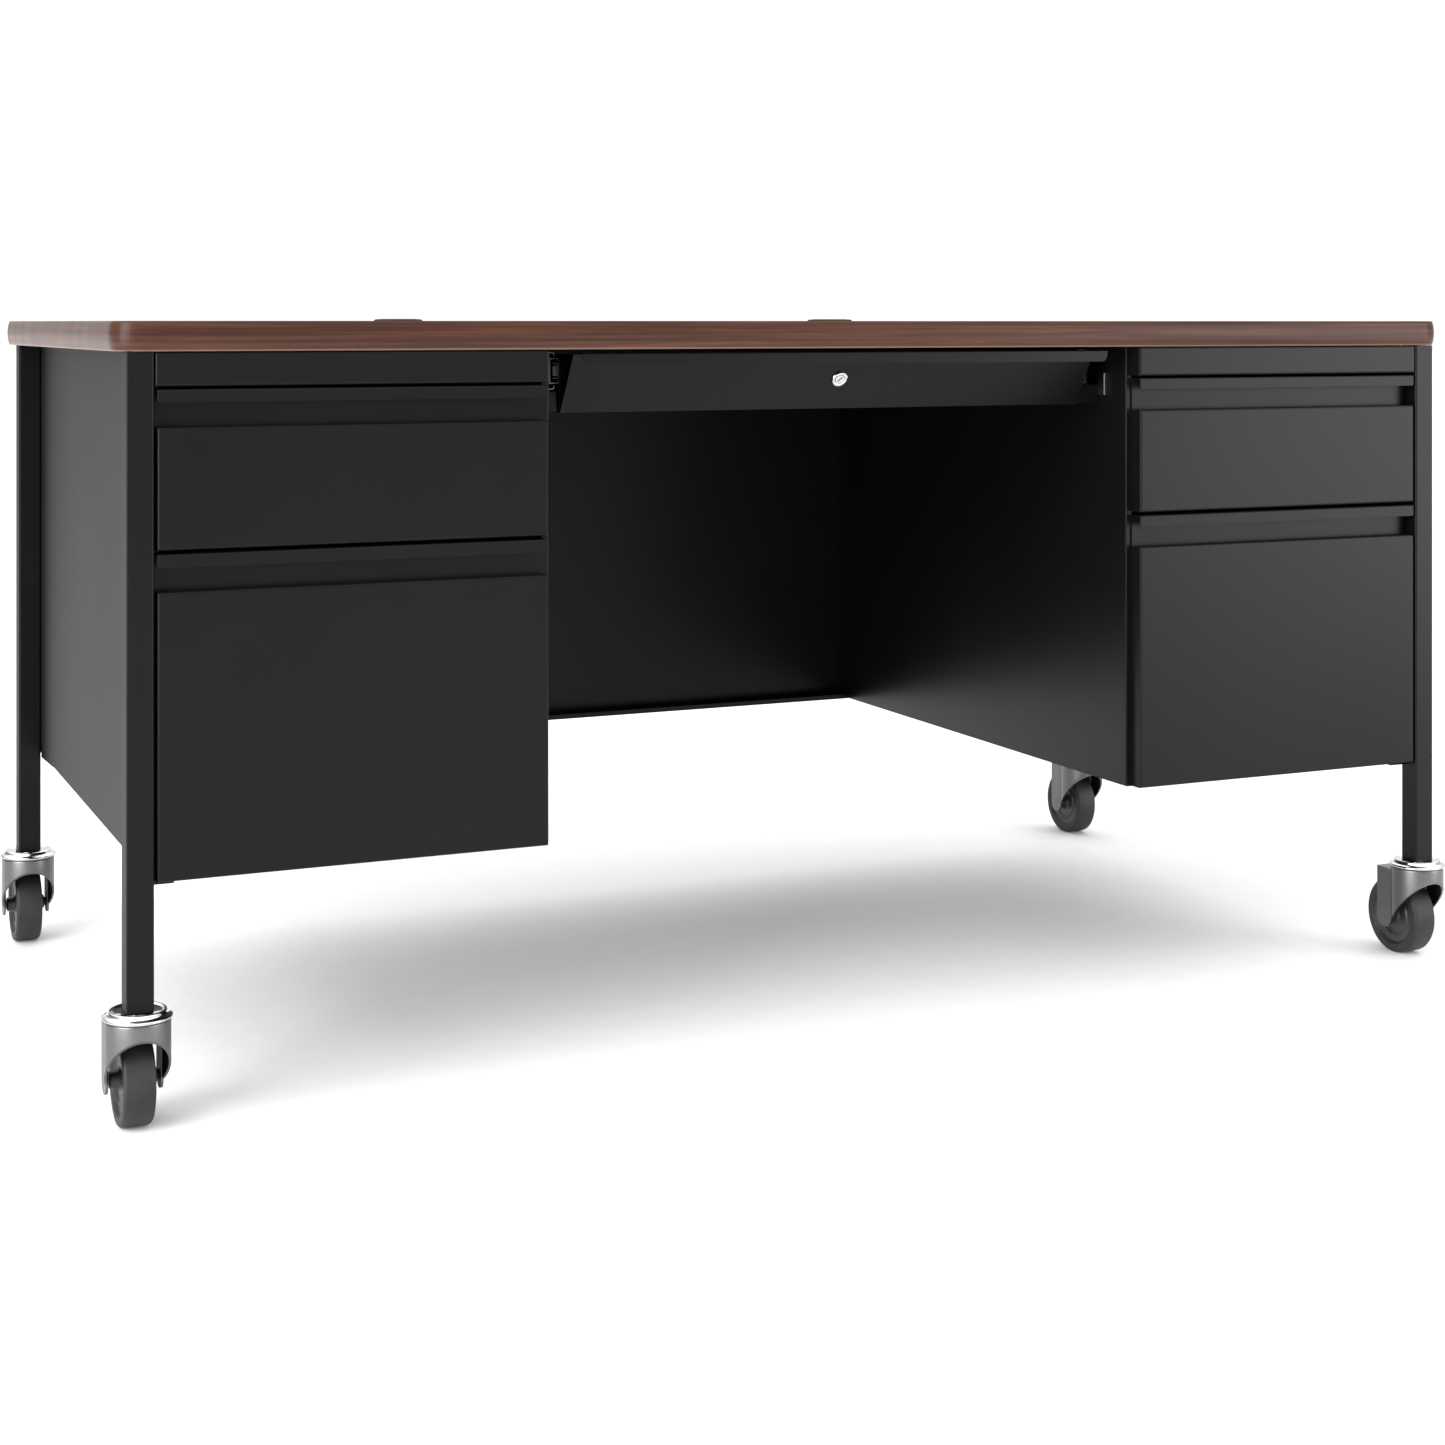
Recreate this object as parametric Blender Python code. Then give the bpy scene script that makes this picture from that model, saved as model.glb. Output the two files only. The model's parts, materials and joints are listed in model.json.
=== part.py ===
"""Teacher desk on casters: two drawer pedestals, a centre drawer and a laminate top.

All sizes below are in millimetres in desk coordinates: X to the user's right,
Y from the user's side to the back, Z up from the floor.  Objects are written in
metres, moved so the origin is the floor point under the middle of the whole desk.
"""
import math

import bmesh
import bpy
from mathutils import Matrix, Vector

MM = 0.001

# Overall sizes
TOP_W = 1524.0
TOP_D = 762.0
TOP_Z = 743.0
TOP_T = 28.0
TOP_CORNER_R = 25.0
TOP_BULGE = 1.8
ORIGIN_Y = 17.65

# Legs: square tube
LEG_S = 25.4
LEG_WALL = 1.6
LEG_R = 2.2
LEG_X = 737.0
LEG_Y_FRONT = -363.7
LEG_Y_BACK = 359.6
LEG_Z0 = 112.8
FRONT_Y = LEG_Y_FRONT - LEG_S / 2

# Pedestals
SHEET = 1.5
PED_Z0 = 229.3
OUTER_X = 724.0
INNER_X = 337.0
PANEL_Y0 = -357.8
BACK_Y = 346.5
FRONT_DEPTH = 18.0
FRONT_X0 = 343.6
FRONT_X1 = 721.4
BEND_R = 2.2
TUB_X0 = 351.6
TUB_X1 = 709.2
TUB_Y0 = FRONT_Y + FRONT_DEPTH + 0.3
TUB_Y1 = 250.0

# Drawer fronts: bottom, face top, lip bottom, top
BOX_FRONT = (532.8, 645.2, 668.1, 680.2)
FILE_FRONT = (229.9, 494.3, 516.7, 529.2)
RAIL_Z = (682.9, 714.6)

# Centre drawer
CD_HALF = 305.5
CD_LIP_Y = -370.0
CD_LIP_Z = (698.8, 711.2)
CD_KNEE_Y = -344.0
CD_FOOT = (-303.0, 650.0)
CD_T = 1.6
LOCK_Z = 682.3
SLIDE_Z = 692.5
SLIDE_WALL_X = 320.5
SLIDE_Y = (-302.0, 98.0)

# Casters
WHEEL_R = 43.4
WHEEL_W = 29.4
TRAIL = 28.0
FORK_R = 29.8
FORK_T = 2.2
STRUT_X = 26.2
AXLE_R = 5.0
CLEAR = 0.08

# Cable grommets
GROMMET_X = 300.0
GROMMET_Y = 300.0

LOOKS = {
    "black_powder_coat": ((0.035, 0.036, 0.038), 0.0, 0.42),
    "walnut_laminate": ((0.155, 0.088, 0.070), 0.0, 0.38),
    "zinc_plate": ((0.42, 0.42, 0.43), 1.0, 0.38),
    "chrome": ((0.78, 0.78, 0.79), 1.0, 0.10),
    "wheel_rubber": ((0.055, 0.055, 0.057), 0.0, 0.62),
    "black_plastic": ((0.025, 0.025, 0.026), 0.0, 0.50),
}


def clear_scene():
    for obj in list(bpy.data.objects):
        bpy.data.objects.remove(obj, do_unlink=True)


def material(look):
    found = bpy.data.materials.get(look)
    if found:
        return found
    colour, metallic, roughness = LOOKS[look]
    mat = bpy.data.materials.new(look)
    mat.use_nodes = True
    shader = mat.node_tree.nodes["Principled BSDF"]
    shader.inputs["Base Color"].default_value = (*colour, 1.0)
    shader.inputs["Metallic"].default_value = metallic
    shader.inputs["Roughness"].default_value = roughness
    mat.diffuse_color = (*colour, 1.0)
    return mat


def finish_mesh(bm, sharp_deg=32.0):
    """Outward normals, and sharp edges kept sharp under smooth shading."""
    bm.normal_update()
    bmesh.ops.recalc_face_normals(bm, faces=bm.faces)
    for face in bm.faces:
        face.smooth = True
    for edge in bm.edges:
        edge.smooth = edge.calc_face_angle(0.0) < math.radians(sharp_deg)


def add_object(name, bm, look, origin):
    """Write a mesh held in desk millimetres as an object with this origin."""
    finish_mesh(bm)
    shift = Vector(origin)
    for vert in bm.verts:
        vert.co = (vert.co - shift) * MM
    mesh = bpy.data.meshes.new(name)
    bm.to_mesh(mesh)
    bm.free()
    mesh.materials.append(material(look))
    obj = bpy.data.objects.new(name, mesh)
    obj.location = (shift - Vector((0.0, ORIGIN_Y, 0.0))) * MM
    bpy.context.scene.collection.objects.link(obj)
    return obj


def cut_with(obj, bm, origin, name):
    """Boolean cutter, kept hidden."""
    cutter = add_object(name, bm, "black_plastic", origin)
    cutter.hide_render = True
    cutter.display_type = "WIRE"
    step = obj.modifiers.new(name, "BOOLEAN")
    step.operation = "DIFFERENCE"
    step.solver = "EXACT"
    step.object = cutter
    return cutter


def apply_steps(obj):
    """Replace an object's mesh by its evaluated one and drop its cutters."""
    cutters = [step.object for step in obj.modifiers if step.type == "BOOLEAN"]
    bpy.context.view_layer.update()
    graph = bpy.context.evaluated_depsgraph_get()
    mesh = bpy.data.meshes.new_from_object(obj.evaluated_get(graph))
    obj.modifiers.clear()
    obj.data = mesh
    for cutter in cutters:
        bpy.data.objects.remove(cutter, do_unlink=True)


def skin_rings(bm, rings, close_loop=False):
    """Join rings of equal length with quads; cap the two ends, or close the loop."""
    layers = [[bm.verts.new(point) for point in ring] for ring in rings]
    pairs = list(zip(layers, layers[1:]))
    if close_loop:
        pairs.append((layers[-1], layers[0]))
    for low, high in pairs:
        count = len(low)
        for i in range(count):
            j = (i + 1) % count
            bm.faces.new((low[i], low[j], high[j], high[i]))
    if not close_loop:
        bm.faces.new(layers[0])
        bm.faces.new(layers[-1])


def loft(rings):
    bm = bmesh.new()
    skin_rings(bm, rings)
    return bm


def turned(profile, centre, axis, segments):
    """Revolve (radius, height) points.  Ends on the axis make a solid of revolution;
    otherwise the profile is a closed loop and the result is a ring."""
    bm = bmesh.new()
    turn = Vector((0.0, 0.0, 1.0)).rotation_difference(Vector(axis)).to_matrix()
    base = Vector(centre)
    solid = profile[0][0] == 0.0
    layers = []
    for radius, height in profile:
        if radius == 0.0:
            layers.append([bm.verts.new(base + turn @ Vector((0.0, 0.0, height)))])
            continue
        ring = []
        for k in range(segments):
            angle = 2.0 * math.pi * k / segments
            spot = Vector((radius * math.cos(angle), radius * math.sin(angle), height))
            ring.append(bm.verts.new(base + turn @ spot))
        layers.append(ring)
    pairs = list(zip(layers, layers[1:]))
    if not solid:
        pairs.append((layers[-1], layers[0]))
    for low, high in pairs:
        for k in range(segments):
            n = (k + 1) % segments
            if len(low) == 1:
                bm.faces.new((low[0], high[n], high[k]))
            elif len(high) == 1:
                bm.faces.new((low[k], low[n], high[0]))
            else:
                bm.faces.new((low[k], low[n], high[n], high[k]))
    return bm


def fused_boxes(boxes, holes=()):
    """One closed body: the union of boxes (x0, x1, y0, y1, z0, z1) less the holes."""
    spans = [sorted({round(b[2 * a + s], 4) for b in list(boxes) + list(holes) for s in (0, 1)})
             for a in range(3)]

    def inside(group, point):
        return any(all(b[2 * a] < point[a] < b[2 * a + 1] for a in range(3)) for b in group)

    filled = set()
    for i in range(len(spans[0]) - 1):
        for j in range(len(spans[1]) - 1):
            for k in range(len(spans[2]) - 1):
                cell = (i, j, k)
                mid = [(spans[a][cell[a]] + spans[a][cell[a] + 1]) / 2 for a in range(3)]
                if inside(boxes, mid) and not inside(holes, mid):
                    filled.add(cell)
    bm = bmesh.new()
    made = {}

    def corner(i, j, k):
        key = (i, j, k)
        if key not in made:
            made[key] = bm.verts.new((spans[0][i], spans[1][j], spans[2][k]))
        return made[key]

    for i, j, k in sorted(filled):
        for a in range(3):
            for side in (0, 1):
                near = [i, j, k]
                near[a] += 1 if side else -1
                if tuple(near) in filled:
                    continue
                b, c = (a + 1) % 3, (a + 2) % 3
                quad = []
                for db, dc in ((0, 0), (1, 0), (1, 1), (0, 1)):
                    spot = [i, j, k]
                    spot[a] += side
                    spot[b] += db
                    spot[c] += dc
                    quad.append(corner(*spot))
                if not side:
                    quad.reverse()
                bm.faces.new(quad)
    bmesh.ops.dissolve_limit(bm, angle_limit=0.001, verts=bm.verts, edges=bm.edges)
    return bm


def round_edges(bm, offset, segments, wanted):
    """Round the edges whose middle point and direction satisfy wanted."""
    picked = []
    for edge in bm.edges:
        a, b = (v.co for v in edge.verts)
        if edge.calc_face_angle(0.0) > 0.5 and wanted((a + b) / 2, (b - a).normalized()):
            picked.append(edge)
    bmesh.ops.bevel(bm, geom=picked, offset=offset, segments=segments, profile=0.5,
                    affect="EDGES", clamp_overlap=True)


def mirrored(boxes, side):
    """Boxes given for the right-hand side, turned to the side asked for."""
    if side > 0:
        return [tuple(b) for b in boxes]
    return [(-b[1], -b[0], b[2], b[3], b[4], b[5]) for b in boxes]


def rounded_rectangle(half_x, half_y, radius, inset, z, steps, centre=(0.0, 0.0)):
    """Ring of points of a rounded rectangle, shrunk evenly by inset."""
    ring = []
    for quadrant in range(4):
        sx = 1 if quadrant in (0, 3) else -1
        sy = 1 if quadrant in (0, 1) else -1
        cx = centre[0] + sx * (half_x - radius)
        cy = centre[1] + sy * (half_y - radius)
        for k in range(steps + 1):
            angle = math.pi / 2 * (quadrant + k / steps)
            reach = radius - inset
            ring.append(Vector((cx + reach * math.cos(angle), cy + reach * math.sin(angle), z)))
    return ring


# ---------------------------------------------------------------- desk top
def desktop():
    levels = ((0.0, 3.2), (0.7, 2.2), (3.0, 1.45), (8.0, 0.45), (14.0, 0.0),
              (20.0, 0.45), (25.0, 1.45), (27.3, 2.2), (28.0, 3.2))
    rings = [rounded_rectangle(TOP_W / 2, TOP_D / 2, TOP_CORNER_R,
                               inset * TOP_BULGE / 1.8, TOP_Z - TOP_T + rise, 6)
             for rise, inset in levels]
    obj = add_object("desktop", loft(rings), "walnut_laminate", (0.0, 0.0, TOP_Z))
    for side, word in ((-1, "left"), (1, "right")):
        x = side * GROMMET_X
        # Through hole with a shallow seat for the grommet's flange
        drill = turned([(0.0, -40.0), (25.3, -40.0), (25.3, -0.9), (30.4, -0.9),
                        (30.4, 10.0), (0.0, 10.0)], (x, GROMMET_Y, TOP_Z), (0, 0, 1), 28)
        cut_with(obj, drill, (x, GROMMET_Y, TOP_Z), "cutter_grommet_" + word)
    apply_steps(obj)


def grommet(word, side):
    spot = (side * GROMMET_X, GROMMET_Y, TOP_Z)
    liner = [(25.0, -25.0), (25.0, -0.6), (30.0, -0.6), (29.9, 0.9), (28.4, 2.2), (25.6, 2.6),
             (24.1, 2.2), (24.1, 0.2), (22.6, 0.2), (22.6, -25.0)]
    add_object("grommet_liner_" + word, turned(liner, spot, (0, 0, 1), 28),
               "black_plastic", spot)
    # Cap: a disc with a cable notch at its back edge
    radius = 23.88
    notch = 7.0
    rim = []
    start = math.asin(notch / radius)
    for k in range(25):
        angle = math.pi / 2 + start + (2 * math.pi - 2 * start) * k / 24
        rim.append((radius * math.cos(angle), radius * math.sin(angle)))
    for k in range(7):
        angle = -math.pi * k / 6
        rim.append((notch * math.cos(angle), 12.0 + notch * math.sin(angle)))
    layers = []
    for rise, shrink in ((0.6, 1.0), (2.2, 1.0), (2.9, 0.96)):
        layers.append([Vector((spot[0] + x * shrink, spot[1] + y * shrink, spot[2] + rise))
                       for x, y in rim])
    add_object("grommet_cap_" + word, loft(layers), "black_plastic", spot)


# ---------------------------------------------------------------- frame
def leg(word, x, y):
    bm = bmesh.new()
    half = LEG_S / 2
    centre = (x, y)
    top = TOP_Z - TOP_T - 0.3
    inner_half = half - LEG_WALL
    rings = [rounded_rectangle(half, half, LEG_R, 0.0, LEG_Z0, 3, centre),
             rounded_rectangle(half, half, LEG_R, 0.0, top, 3, centre),
             rounded_rectangle(inner_half, inner_half, 1.0, 0.0, top, 3, centre),
             rounded_rectangle(inner_half, inner_half, 1.0, 0.0, LEG_Z0, 3, centre)]
    skin_rings(bm, rings, close_loop=True)
    add_object("leg_" + word, bm, "black_powder_coat", (x, y, LEG_Z0))


def outer_panel(word, side):
    """Outer pedestal side inside the two legs, with its welded leg gussets."""
    x1, x0 = OUTER_X, OUTER_X - SHEET
    z0, z1 = PED_Z0, TOP_Z - TOP_T - 0.4
    y1 = LEG_Y_BACK + LEG_S / 2
    drop = 4.9
    boxes = [(x0, x1, PANEL_Y0, y1, z0, z1),
             (OUTER_X - 7.0, x1, PANEL_Y0, PANEL_Y0 + SHEET, z0, z1),
             (OUTER_X - 12.0, x1, PANEL_Y0, BACK_Y - 0.4, z0, z0 + SHEET),
             (OUTER_X - 16.0, x1, PANEL_Y0, BACK_Y - 0.4, z1 - SHEET, z1)]
    gussets = [(OUTER_X - 21.0, x1, PANEL_Y0, PANEL_Y0 + 94.0, z0 - drop, z0),
               (OUTER_X - 21.0, x1, BACK_Y - 94.0, BACK_Y, z0 - drop, z0)]
    bm = fused_boxes(mirrored(boxes + gussets, side))
    for vert in bm.verts:
        inner_end = PANEL_Y0 + 50.0 < vert.co.y < BACK_Y - 50.0
        if vert.co.z < z0 - 1.0 and inner_end:
            vert.co.z = z0 - 0.9
    round_edges(bm, 1.3, 2, lambda m, d: abs(d.z) > 0.9 and abs(m.x) > x1 - 0.1
                and m.y < PANEL_Y0 + 0.1)
    add_object("side_panel_outer_" + word, bm, "black_powder_coat",
               (side * OUTER_X, 0.0, z0))


def inner_panel(word, side):
    """Pedestal side next to the kneehole: a folded sheet."""
    x0 = INNER_X
    z0, z1 = PED_Z0, TOP_Z - TOP_T - 0.4
    y1 = BACK_Y - 0.4
    boxes = [(x0, x0 + SHEET, PANEL_Y0, y1, z0, z1),
             (x0, x0 + 7.4, PANEL_Y0, PANEL_Y0 + SHEET, z0, z1),
             (x0, x0 + 14.0, y1 - SHEET, y1, z0, z1),
             (x0, x0 + 12.0, PANEL_Y0, y1, z0, z0 + SHEET),
             (x0, x0 + 12.0, PANEL_Y0, y1, z1 - SHEET, z1)]
    bm = fused_boxes(mirrored(boxes, side))
    round_edges(bm, 1.35, 3, lambda m, d: abs(m.x) < x0 + 0.1
                and (m.y < PANEL_Y0 + 0.1 or m.z < z0 + 0.1)
                and (abs(d.z) > 0.9 or abs(d.y) > 0.9))
    add_object("side_panel_inner_" + word, bm, "black_powder_coat",
               (side * INNER_X, 0.0, z0))


def back_panel():
    z0, z1 = PED_Z0, TOP_Z - TOP_T - 0.4
    half = OUTER_X - SHEET - 0.3
    knee = INNER_X - 0.4
    boxes = [(-half, half, BACK_Y, BACK_Y + SHEET, z0, z1),
             (-knee, knee, BACK_Y - 30.0, BACK_Y + SHEET, z0, z0 + SHEET),
             (-knee, knee, BACK_Y - 30.0, BACK_Y - 30.0 + SHEET, z0, z0 + 6.0),
             (-half, half, BACK_Y, BACK_Y + 16.0, z1 - SHEET, z1)]
    bm = fused_boxes(boxes)
    round_edges(bm, 1.2, 2, lambda m, d: abs(d.x) > 0.9 and m.z < z0 + 0.1)
    add_object("back_panel", bm, "black_powder_coat", (0.0, BACK_Y, z0))


def end_rounding(distance, radius):
    """How far a rounded end has dropped back at this distance from it."""
    if distance >= radius:
        return 0.0
    return radius - math.sqrt(radius ** 2 - (radius - distance) ** 2)


def end_stations(x0, x1, depths):
    near = [(x0 + d, d) for d in depths]
    far = [(x1 - d, d) for d in reversed(depths)]
    return near + far


def arc_points(cy, cz, radius, start_deg, stop_deg, steps):
    points = []
    for k in range(steps + 1):
        angle = math.radians(start_deg + (stop_deg - start_deg) * k / steps)
        points.append((cy + radius * math.cos(angle), cz + radius * math.sin(angle)))
    return points


def front_rail(word, side):
    """Fixed false front above the top drawer."""
    z0, z1 = RAIL_Z
    x0, x1 = (342.6, 723.4) if side > 0 else (-723.4, -342.6)
    rings = []
    for x, d in end_stations(x0, x1, (0.0, 0.5, 1.2, 2.2)):
        back = end_rounding(d, BEND_R) * 0.85
        scale = (BEND_R - back) / BEND_R
        outline = [(FRONT_DEPTH, z0)]
        for y, z in arc_points(BEND_R, z0 + BEND_R, BEND_R, 270, 180, 3):
            outline.append((back + y * scale, z))
        for y, z in arc_points(BEND_R, z1 - BEND_R, BEND_R, 180, 90, 3):
            outline.append((back + y * scale, z))
        outline.append((FRONT_DEPTH, z1))
        rings.append([Vector((x, FRONT_Y + y, z)) for y, z in outline])
    obj = add_object("front_rail_" + word, loft(rings), "black_powder_coat",
                     ((x0 + x1) / 2, FRONT_Y, z0))
    hollow = fused_boxes([(x0 + SHEET, x1 - SHEET, FRONT_Y + SHEET, FRONT_Y + 30.0,
                           z0 + SHEET, z1 - SHEET)])
    cut_with(obj, hollow, ((x0 + x1) / 2, FRONT_Y, z0), "cutter_rail_" + word)
    apply_steps(obj)


# ---------------------------------------------------------------- pedestal drawers
def drawer_front(name, side, levels):
    """Folded front: lip pull across the top, open recess, then the face pan."""
    z0, zf, zl, z1 = levels
    x0, x1 = (FRONT_X0, FRONT_X1) if side > 0 else (-FRONT_X1, -FRONT_X0)
    depth, sheet = FRONT_DEPTH, SHEET
    lip_bend = 1.3
    rings = []
    for x, d in end_stations(x0, x1, (0.0, 0.3, 0.8, 1.5, 2.6)):
        back = end_rounding(d, BEND_R) * 0.85
        scale = (BEND_R - back) / BEND_R
        lip_low = zl + end_rounding(d, 2.6)
        lip_in = end_rounding(d, 1.0) * 0.4
        outline = [(depth, z0)]
        for y, z in arc_points(BEND_R, z0 + BEND_R, BEND_R, 270, 180, 3):
            outline.append((back + y * scale, z))
        for y, z in arc_points(BEND_R, zf - BEND_R, BEND_R, 180, 90, 3):
            outline.append((back + y * scale, z))
        outline.append((depth - sheet, zf))
        outline.append((depth - sheet, z1 - sheet))
        outline.append((sheet + 0.1, z1 - sheet))
        outline.append((sheet + 0.1, lip_low))
        outline.append((lip_in, lip_low))
        for y, z in arc_points(lip_bend, z1 - lip_bend, lip_bend, 180, 90, 2):
            outline.append((max(y, lip_in), z))
        outline.append((depth, z1))
        rings.append([Vector((x, FRONT_Y + y, z)) for y, z in outline])
    middle = ((x0 + x1) / 2, FRONT_Y, (z0 + z1) / 2)
    obj = add_object(name, loft(rings), "black_powder_coat", middle)
    hollow = fused_boxes([(x0 + sheet, x1 - sheet, FRONT_Y + sheet, FRONT_Y + 30.0,
                           z0 + sheet, zf - sheet)])
    cut_with(obj, hollow, middle, "cutter_" + name)
    apply_steps(obj)


def drawer_tub(name, side, z0, z1, slide_z):
    """Open-topped steel box with a slide rib along each side."""
    x0, x1 = TUB_X0, TUB_X1
    rib = 7.8
    boxes = [(x0, x1, TUB_Y0, TUB_Y1, z0, z1),
             (x0 - 6.8, x0 + 0.8, TUB_Y0 + 6.0, TUB_Y1 - 10.0, slide_z - rib, slide_z + rib),
             (x1 - 0.8, x1 + 6.8, TUB_Y0 + 6.0, TUB_Y1 - 10.0, slide_z - rib, slide_z + rib)]
    hollow = [(x0 + SHEET, x1 - SHEET, TUB_Y0 + SHEET, TUB_Y1 - SHEET, z0 + SHEET, z1 + 1.0)]
    bm = fused_boxes(mirrored(boxes, side), mirrored(hollow, side))
    middle = (side * (x0 + x1) / 2, TUB_Y0, z0)
    add_object(name, bm, "black_powder_coat", middle)


def cabinet_slide(name, side, wall_x, inward, slide_z):
    """C-shaped channel on a pedestal wall; the drawer's rib runs in it."""
    def span(a, b):
        ends = sorted((wall_x + inward * a, wall_x + inward * b))
        return ends[0], ends[1]
    y0, y1 = PANEL_Y0 + 4.0, 238.0
    high = 19.0
    gap = 9.2
    boxes = [(*span(0.3, 1.6), y0, y1, slide_z - high, slide_z + high),
             (*span(0.3, 9.6), y0, y1, slide_z - high, slide_z - high + 1.4),
             (*span(0.3, 9.6), y0, y1, slide_z + high - 1.4, slide_z + high),
             (*span(8.2, 9.6), y0, y1, slide_z - high, slide_z - gap),
             (*span(8.2, 9.6), y0, y1, slide_z + gap, slide_z + high)]
    add_object(name, fused_boxes(mirrored(boxes, side)), "zinc_plate",
               (side * wall_x, y0, slide_z))


def pedestal(word, side):
    outer_panel(word, side)
    inner_panel(word, side)
    front_rail(word, side)
    drawers = (("box", BOX_FRONT, 540.0, 640.0, 590.0),
               ("file", FILE_FRONT, 238.0, 482.0, 420.0))
    for kind, levels, z0, z1, slide_z in drawers:
        name = word + "_" + kind
        drawer_front(name + "_front", side, levels)
        drawer_tub(name + "_tub", side, z0, z1, slide_z)
        cabinet_slide(name + "_slide_outer", side, OUTER_X - SHEET, -1, slide_z)
        cabinet_slide(name + "_slide_inner", side, INNER_X + SHEET, 1, slide_z)


# ---------------------------------------------------------------- centre drawer
def face_normal():
    """Outward normal of the slanted centre drawer face, in the YZ plane."""
    run = Vector((0.0, CD_FOOT[0] - CD_KNEE_Y, CD_FOOT[1] - CD_LIP_Z[1])).normalized()
    return Vector((0.0, run.z, -run.y))


def lock_spot():
    share = (CD_LIP_Z[1] - LOCK_Z) / (CD_LIP_Z[1] - CD_FOOT[1])
    return Vector((0.0, CD_KNEE_Y + share * (CD_FOOT[0] - CD_KNEE_Y), LOCK_Z))


def centre_front():
    z_lip, z_top = CD_LIP_Z
    y_lip, y_knee = CD_LIP_Y, CD_KNEE_Y
    y_foot, z_foot = CD_FOOT
    t = CD_T
    normal = face_normal()
    back_top = Vector((0.0, y_knee, z_top)) - normal * t
    back_foot = Vector((0.0, y_foot, z_foot)) - normal * t
    slope = (back_foot.y - back_top.y) / (back_foot.z - back_top.z)
    rings = []
    for x, d in end_stations(-CD_HALF, CD_HALF, (0.0, 0.8, 2.0, 3.8, 6.5)):
        low = z_lip + end_rounding(d, 6.5) * 1.6
        outline = [(y_lip, low), (y_lip, z_top - 1.2), (y_lip + 0.4, z_top - 0.4),
                   (y_lip + 1.2, z_top), (y_knee, z_top),
                   (back_top.y + 0.6, z_top - 0.2),
                   (back_foot.y + slope * (z_foot + t - back_foot.z), z_foot + t),
                   (y_foot + 12.0, z_foot + t), (y_foot + 12.0, z_foot),
                   (y_foot, z_foot), (y_foot - 0.5, z_foot + 0.6),
                   (y_knee + slope * (z_top - t - z_top), z_top - t),
                   (y_lip + t, z_top - t), (y_lip + t, low)]
        rings.append([Vector((x, y, z)) for y, z in outline])
    spot = lock_spot()
    obj = add_object("centre_drawer_front", loft(rings), "black_powder_coat",
                     (0.0, CD_KNEE_Y, CD_FOOT[1]))
    drill = turned([(0.0, -12.0), (7.6, -12.0), (7.6, 8.0), (0.0, 8.0)], spot, normal, 24)
    cut_with(obj, drill, spot, "cutter_lock")
    apply_steps(obj)


def centre_tray():
    half = 305.6
    y0, y1 = CD_FOOT[0] + 2.5, 95.0
    z0, z1 = CD_FOOT[1] + CD_T + 0.3, 704.0
    boxes = [(-half, half, y0, y1, z0, z1)]
    hollow = [(-half + SHEET, half - SHEET, y0 + SHEET, y1 - SHEET, z0 + SHEET, z1 + 1.0),
              (-14.0, 14.0, y0 - 1.0, y0 + SHEET + 1.0, 668.0, z1 + 1.0)]
    add_object("centre_drawer_tray", fused_boxes(boxes, hollow), "black_powder_coat",
               (0.0, y0, z0))


def lock():
    spot = lock_spot()
    normal = face_normal()
    seat = 0.3
    housing = [(5.38, -9.0), (7.3, -9.0), (7.3, seat), (9.1, seat), (9.1, 1.6), (8.5, 2.5),
               (7.4, 2.8), (6.2, 2.6), (5.38, 2.2)]
    add_object("lock_housing", turned(housing, spot, normal, 24), "chrome", spot)
    # Plug with a key slot and, behind the face, the cam that throws into the frame
    turn = Vector((0.0, 0.0, 1.0)).rotation_difference(normal).to_matrix().to_4x4()
    plug = [(0.0, -12.4), (5.3, -12.4), (5.3, 1.6), (4.9, 2.0), (0.0, 2.0)]
    obj = add_object("lock_plug", turned(plug, spot, normal, 24), "chrome", spot)
    slot = fused_boxes([(-0.7, 0.7, -3.4, 3.4, -1.2, 4.0)])
    slot.transform(Matrix.Translation(spot) @ turn @ Matrix.Rotation(math.radians(-38), 4, "Z"))
    cut_with(obj, slot, spot, "cutter_key_slot")
    apply_steps(obj)
    cam = fused_boxes([(-4.5, 13.0, -4.0, 4.0, -14.6, -12.7)])
    cam.transform(Matrix.Translation(spot) @ turn)
    add_object("lock_cam", cam, "zinc_plate", spot)


def slide_parts(word, side):
    """Three nested ball-bearing slide members, each a rolled section."""
    wall = SLIDE_WALL_X
    y0, y1 = SLIDE_Y
    zc = SLIDE_Z

    def box(a0, a1, z0, z1, ya=y0, yb=y1):
        return (wall - a1, wall - a0, ya, yb, zc + z0, zc + z1)

    cabinet = [box(0.0, 1.3, -19.1, 19.1),
               box(0.0, 9.3, -19.1, -17.7), box(8.0, 9.3, -19.1, -15.0),
               box(0.0, 9.3, 17.7, 19.1), box(8.0, 9.3, 15.0, 19.1)]
    middle = [box(3.6, 4.9, -13.1, 13.1),
              box(3.6, 13.9, -13.1, -11.8), box(12.6, 13.9, -13.1, -9.6),
              box(3.6, 13.9, 11.8, 13.1), box(12.6, 13.9, 9.6, 13.1)]
    inner = [box(13.0, 14.2, -8.1, 8.1),
             box(7.7, 14.2, -8.1, -6.9), box(7.7, 14.2, 6.9, 8.1),
             box(7.7, 14.2, -5.05, 5.05, y0, y0 + 7.0)]
    for kind, boxes in (("cabinet", cabinet), ("middle", middle), ("drawer", inner)):
        bm = fused_boxes(mirrored(boxes, side))
        round_edges(bm, 0.5, 1, lambda m, d: abs(d.y) > 0.9)
        add_object("centre_slide_" + kind + "_" + word, bm, "zinc_plate",
                   (side * wall, y0, zc))


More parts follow.
